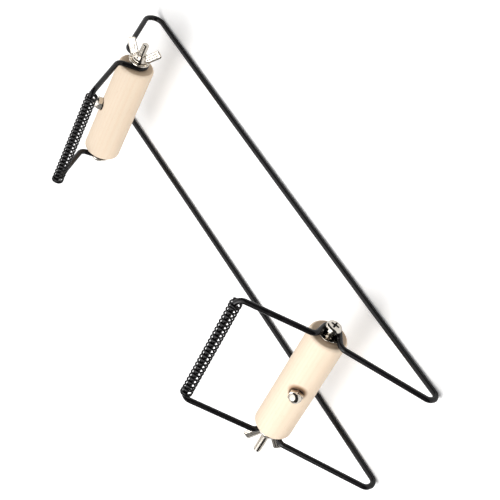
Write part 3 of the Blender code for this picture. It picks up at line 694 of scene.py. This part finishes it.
def cross_recess():
    """The plug of a cross recess: four tapered wings round a pointed core."""
    floor, mouth = head_height - recess_depth, head_height + seat_gap
    slots = []
    for turn in (0.0, math.pi / 2):
        bm = bmesh.new()
        rings = []
        for x, reach, slot in (
            (floor, recess_floor_reach, recess_floor_slot),
            (mouth, recess_reach, recess_slot),
        ):
            corners = [(reach, -slot), (reach, slot), (-reach, slot), (-reach, -slot)]
            rings.append([bm.verts.new((x, y, z)) for y, z in corners])
        close_ends(bm, rings)
        skin(bm, rings)
        bmesh.ops.rotate(bm, verts=bm.verts, cent=(0, 0, 0), matrix=Matrix.Rotation(turn, 3, "X"))
        slots.append(mesh_of("recess_slot", bm))
    core = turned([
        (floor - core_point, 0.0), (floor, core_radius), (mouth, core_mouth_radius), (mouth, 0.0),
    ], core_sides)
    return worked(slots[0], "UNION", slots[1], mesh_of("recess_core", core))


def in_recess(face):
    """Whether a face of a screw lies in its recess, a little under the crown of its head."""
    off_middle = face.center.yz.length
    off_flat = max(0.0, off_middle - head_flat_radius) / (head_radius - head_flat_radius)
    crown = head_height / 2 * (1 + math.sqrt(max(0.0, 1 - off_flat ** 2)))
    under_floor = head_height - recess_depth - MM
    return off_middle < recess_spread and under_floor < face.center.x < crown - recess_lip


for end in ends:
    low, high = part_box(end + "_axle_screw")
    length = high[0] - low[0] - head_height
    screw = screw_mesh(end + "_pan_head_screw", length)
    recessed = [in_recess(face) for face in screw.polygons]
    under_head = high[0] - head_height if head_side[end] > 0 else low[0] + head_height
    move(screw, under_head, axle[end], turn=screw_turn, facing=head_side[end])
    thing = piece(end + "_pan_head_screw", screw, nickel, end + "_axle", "bright_steel", end + "_axle_screw")
    # Faces in the cross recess take the painted shade.
    thing.data.materials.append(recess_painted_shade)
    for face, inside in zip(thing.data.polygons, recessed):
        face.material_index = 1 if inside else 0

# ---- Washers --------------------------------------------------------------------------------
# Plain M6 washers, 18 mm across, punched from 1.2 mm sheet, tumbled and plated.  One lies under
# each wing nut and under the rear screw's head, and the front one is between wood and wire.

washer_bore, washer_edge, washer_sides = 3.3 * MM, 0.25 * MM, 96

for end in ends:
    for use, body in (("head", end + "_axle"), ("clamp", end + "_clamp_washer")):
        low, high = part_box(f"{end}_{use}_washer")
        radius = (high[2] - low[2]) / 2
        near, far = low[0], high[0]
        section = [(near, washer_bore), (near, radius), (far, radius), (far, washer_bore)]
        profile = softened(section, washer_edge)
        washer = mesh_of(f"{end}_{use}_ring", turned(profile, washer_sides, ring=True), sharp=50)
        move(washer, 0.0, axle[end])
        piece(f"{end}_{use}_ring", washer, nickel, body, "bright_steel", f"{end}_{use}_washer")

# ---- Wing nuts ------------------------------------------------------------------------------
# Die cast M6 wing nuts with a low hub.  Each wing is a flat tab with ribs along both faces, which
# give the thumb a grip; the casting is tumbled, so every edge is soft, and then plated bright.

nut_height, nut_base_radius, nut_top_radius = 5.2 * MM, 6.5 * MM, 4.8 * MM
nut_foot_height, nut_waist_height = nut_height * 0.22, nut_height * 0.45
nut_waist_radius, nut_edge = nut_top_radius + 0.4 * MM, 0.2 * MM
nut_bore, nut_bore_chamfer, nut_clear = 3.15 * MM, 0.5 * MM, 1.0 * MM
hub_sides, nut_bore_sides = 72, 48
wing_half_span, wing_height, wing_width = 15.8 * MM, 15.93 * MM, 7.4 * MM
wing_lean = math.radians(38.0)
wing_half_thickness, wing_corner = 1.25 * MM, 1.8 * MM
wing_foot, wing_shoulder, wing_root_radius = 0.8 * MM, 1.2 * MM, 8.2 * MM
wing_steps, wing_corner_steps, wing_sides = 8, 9, 96
squareness = 0.5  # of a wing's section: 1 is an ellipse, 0 a box
rib_count, groove_depth = 5, 0.22 * MM
cast_voxel, tumble_strength, tumble_rounds = 0.2 * MM, 0.5, 8
nut_turn = {"front": math.radians(50.0), "rear": math.radians(36.0)}


def wing_edges():
    """Root, waist and tip of the outer and of the inner edge of a wing, as (x, radius)."""
    out = Vector((math.cos(wing_lean), math.sin(wing_lean)))
    across = Vector((-math.sin(wing_lean), math.cos(wing_lean)))
    flat = wing_width - 2 * wing_corner
    inner = Vector((wing_height - wing_corner, wing_half_span - wing_corner - flat * across.y))
    inner_tip = inner + (out - across) * wing_corner
    outer_tip = inner + across * (flat + wing_corner) + out * wing_corner
    in_hub = nut_top_radius - MM
    outer_root = Vector((wing_foot, in_hub))
    inner_root = Vector((nut_height + wing_shoulder, in_hub))
    outer_waist = Vector((wing_foot, wing_root_radius))
    return (outer_root, outer_waist, outer_tip), (inner_root, inner_root, inner_tip)


def squared(value):
    """A cosine or sine pushed outwards, so that it draws a square with round corners."""
    return math.copysign(abs(value) ** squareness, value)


def wing_tab(side):
    """One wing: rings of a ribbed section from inside the hub to the rounded tip."""
    outer, inner = wing_edges()
    length = (outer[2] - outer[1]).length
    stations = [(0, 0.0, 1.0, 1.0)]  # part of the wing, share of its length, width, thickness
    stations += [(1, k / wing_steps, 1.0, 1.0) for k in range(wing_steps)]
    for k in range(wing_corner_steps):
        slope = math.pi / 2 * k / wing_corner_steps
        share = 1 - (wing_corner / length) * (1 - math.sin(slope))
        width = 1 - 2 * wing_corner / wing_width * (1 - math.cos(slope))
        stations.append((1, share, width, squared(math.cos(slope))))
    bm = bmesh.new()
    rings = []
    for part, share, width, thickness in stations:
        low = outer[part].lerp(outer[part + 1], share)
        high = inner[part].lerp(inner[part + 1], share)
        middle, half = (low + high) / 2, (high - low) / 2 * width
        ring = []
        for k in range(wing_sides):
            angle = math.tau * k / wing_sides
            reach, rise = squared(math.cos(angle)), squared(math.sin(angle))
            ribs = math.cos(math.pi * (rib_count - 1) * (reach + 1))
            depth = (wing_half_thickness - groove_depth * (0.5 - 0.5 * ribs)) * thickness
            place = middle + half * reach
            ring.append(bm.verts.new((place.x, side * place.y, rise * depth)))
        rings.append(ring)
    skin(bm, rings)
    close_ends(bm, rings)
    return mesh_of("wing_tab", bm)


def wing_nut_mesh(name):
    """A wing nut along +X from its foot: hub and wings cast in one, tumbled, then bored."""
    hub = turned([
        (0.0, 0.0), (0.0, nut_base_radius - nut_edge), (nut_edge, nut_base_radius),
        (nut_foot_height, nut_base_radius), (nut_waist_height, nut_waist_radius),
        (nut_height, nut_top_radius), (nut_height, 0.0),
    ], hub_sides)
    bm = bmesh.new()
    for part in (mesh_of("hub", hub), wing_tab(1), wing_tab(-1)):
        bm.from_mesh(part)
    rough = linked("rough_nut", mesh_of("rough_nut", bm))
    cast = rough.modifiers.new("Cast", "REMESH")
    cast.mode = "VOXEL"
    cast.voxel_size = cast_voxel
    tumbled = rough.modifiers.new("Tumbled", "SMOOTH")
    tumbled.factor = tumble_strength
    tumbled.iterations = tumble_rounds
    depsgraph = bpy.context.evaluated_depsgraph_get()
    casting = bpy.data.meshes.new_from_object(rough.evaluated_get(depsgraph))
    bpy.data.objects.remove(rough, do_unlink=True)
    mouth = nut_height + nut_clear
    bore = turned([
        (-nut_clear, 0.0), (-nut_clear, nut_bore), (nut_height - nut_bore_chamfer, nut_bore),
        (mouth, nut_bore + nut_bore_chamfer + nut_clear), (mouth, 0.0),
    ], nut_bore_sides)
    nut = worked(casting, "DIFFERENCE", mesh_of("bore", bore))
    nut.name = name
    nut.shade_smooth()
    nut.set_sharp_from_angle(angle=math.radians(50))
    return nut


for end in ends:
    low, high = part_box(end + "_clamp_washer")
    nut_side = -head_side[end]
    base = high[0] + seat_gap if nut_side > 0 else low[0] - seat_gap
    nut = wing_nut_mesh(end + "_cast_wing_nut")
    move(nut, base, axle[end], turn=nut_turn[end], facing=nut_side)
    piece(end + "_cast_wing_nut", nut, nickel, end + "_wing_nut", "bright_steel", end + "_wing_nut")

# ---- Studio ---------------------------------------------------------------------------------
# A white table in a white room, lit by one large soft lamp over the front left of the stand, which
# gives it a soft shadow to its right.  Felt screens and a lit white ceiling, seen only in gloss,
# draw the dark and light bands on the plated pieces.

table_half = 4.0
table_grey, table_white, far_white = 0.86, 1.30, 2.0  # to the lamp; to the camera, near and far
white_start, white_end = 0.45, 1.3  # from the middle of the table, where it goes from near to far
table_mirrored = 0.2  # how much of its white shows in gloss
lamp_way = Vector((-0.20, -0.34, 0.92)).normalized()
lamp_distance, lamp_size, lamp_power = 1.3, 1.0, 12.2
room_fill = 0.55
ceiling_radius, ceiling_place, ceiling_glow = 3.0, (0.9, 1.0, 1.35), 1.6
screen_panels = 24
stand_middle = Vector((0.0, 0.0, 0.05))
camera_lens, camera_sensor = 103.079, 36.0
camera_place = Vector((0.70061, -0.56687, 0.70446))
camera_right = Vector((0.377731, -0.493672, -0.783331))
camera_up = Vector((0.688297, 0.715590, -0.119075))


def seen_white(tree, mirrored):
    """1 for rays from the camera, and `mirrored` for rays from gloss and through glass."""
    path = tree.nodes.new("ShaderNodeLightPath")
    total = path.outputs["Is Camera Ray"]
    for ray in ("Is Glossy Ray", "Is Transmission Ray"):
        larger = tree.nodes.new("ShaderNodeMath")
        larger.operation = "MULTIPLY_ADD"
        larger.inputs[1].default_value = mirrored
        tree.links.new(path.outputs[ray], larger.inputs[0])
        tree.links.new(total, larger.inputs[2])
        total = larger.outputs[0]
    return total


def studio_mesh(name, bm, only_in_gloss=True):
    """A table, screen or ceiling of the studio, which is no part of the stand."""
    thing = linked(name, mesh_of(name, bm))
    if only_in_gloss:
        thing.visible_camera = False
        thing.visible_diffuse = False
        thing.visible_shadow = False
    return thing


bm = bmesh.new()
bmesh.ops.create_grid(bm, x_segments=1, y_segments=1, size=table_half)
table = studio_mesh("white_table", bm, only_in_gloss=False)
table_paint = bpy.data.materials.new("white_table_paint")
table_paint.use_nodes = True
tree = table_paint.node_tree
tree.nodes.remove(tree.nodes["Principled BSDF"])
from_middle = vector_math(table_paint, "LENGTH", place_of(table_paint))
camera_white = add_node(
    table_paint, "ShaderNodeMapRange",
    Value=from_middle, From_Min=white_start, From_Max=white_end, To_Min=table_white, To_Max=far_white,
)
white = add_node(
    table_paint, "ShaderNodeMapRange",
    Value=seen_white(tree, table_mirrored), To_Min=table_grey, To_Max=camera_white.outputs["Result"],
)
paint = add_node(table_paint, "ShaderNodeBsdfDiffuse", Color=white.outputs["Result"])
tree.links.new(paint.outputs["BSDF"], tree.nodes["Material Output"].inputs["Surface"])
table.data.materials.append(table_paint)

screens = (  # name, distance of foot and top, bearings in degrees, height, grey
    ("front_screen", 0.45, 1.5, -126.0, 60.0, 1.25, 0.03),
    ("left_screen", 1.5, 1.5, -175.0, -126.0, 1.25, 0.38),
    ("back_screen", 1.5, 1.5, 100.0, 170.0, 0.40, 0.03),
)
for name, foot, top, start, end, height, grey in screens:
    bm = bmesh.new()
    columns = []
    for k in range(screen_panels + 1):
        angle = math.radians(start + (end - start) * k / screen_panels)
        way = Vector((math.cos(angle), math.sin(angle), 0.0))
        rise = Vector((0.0, 0.0, height))
        columns.append((bm.verts.new(way * foot), bm.verts.new(way * top + rise)))
    for here, there in zip(columns, columns[1:]):
        bm.faces.new((here[0], there[0], there[1], here[1]))
    screen = studio_mesh(name, bm)
    felt, shader = finish_of(name + "_felt", 1.0)
    shader.inputs["Base Color"].default_value = (grey, grey, grey, 1.0)
    shader.inputs["Specular IOR Level"].default_value = 0.0
    screen.data.materials.append(felt)

bm = bmesh.new()
bmesh.ops.create_circle(bm, cap_ends=True, radius=ceiling_radius, segments=64)
ceiling = studio_mesh("white_ceiling", bm)
ceiling.location = ceiling_place
ceiling_white, shader = finish_of("lit_white_ceiling", 1.0)
shader.inputs["Base Color"].default_value = (0.0, 0.0, 0.0, 1.0)
shader.inputs["Emission Color"].default_value = (1.0, 1.0, 1.0, 1.0)
shader.inputs["Emission Strength"].default_value = ceiling_glow
ceiling.data.materials.append(ceiling_white)

world = bpy.data.worlds.new("white_room")
bpy.context.scene.world = world
world.use_nodes = True
tree = world.node_tree
sky = tree.nodes["Background"]
level = tree.nodes.new("ShaderNodeMapRange")
level.inputs["To Min"].default_value = room_fill
level.inputs["To Max"].default_value = 1.0
tree.links.new(seen_white(tree, 1.0), level.inputs["Value"])
tree.links.new(level.outputs["Result"], sky.inputs["Strength"])
sky.inputs["Color"].default_value = (1.0, 1.0, 1.0, 1.0)

lamp_data = bpy.data.lights.new("soft_lamp", "AREA")
lamp_data.shape = "DISK"
lamp_data.size = lamp_size
lamp_data.energy = lamp_power
lamp = linked("soft_lamp", lamp_data)
lamp.location = stand_middle + lamp_way * lamp_distance
lamp.rotation_euler = lamp_way.to_track_quat("Z", "Y").to_euler()

camera_data = bpy.data.cameras.new("camera")
camera_data.lens = camera_lens
camera_data.sensor_width = camera_sensor
camera = linked("camera", camera_data)
camera_back = camera_right.cross(camera_up)
turn = Matrix((camera_right, camera_up, camera_back)).transposed()
camera.matrix_world = Matrix.Translation(camera_place) @ turn.to_4x4()
bpy.context.scene.camera = camera
bpy.context.scene.view_settings.view_transform = "Standard"
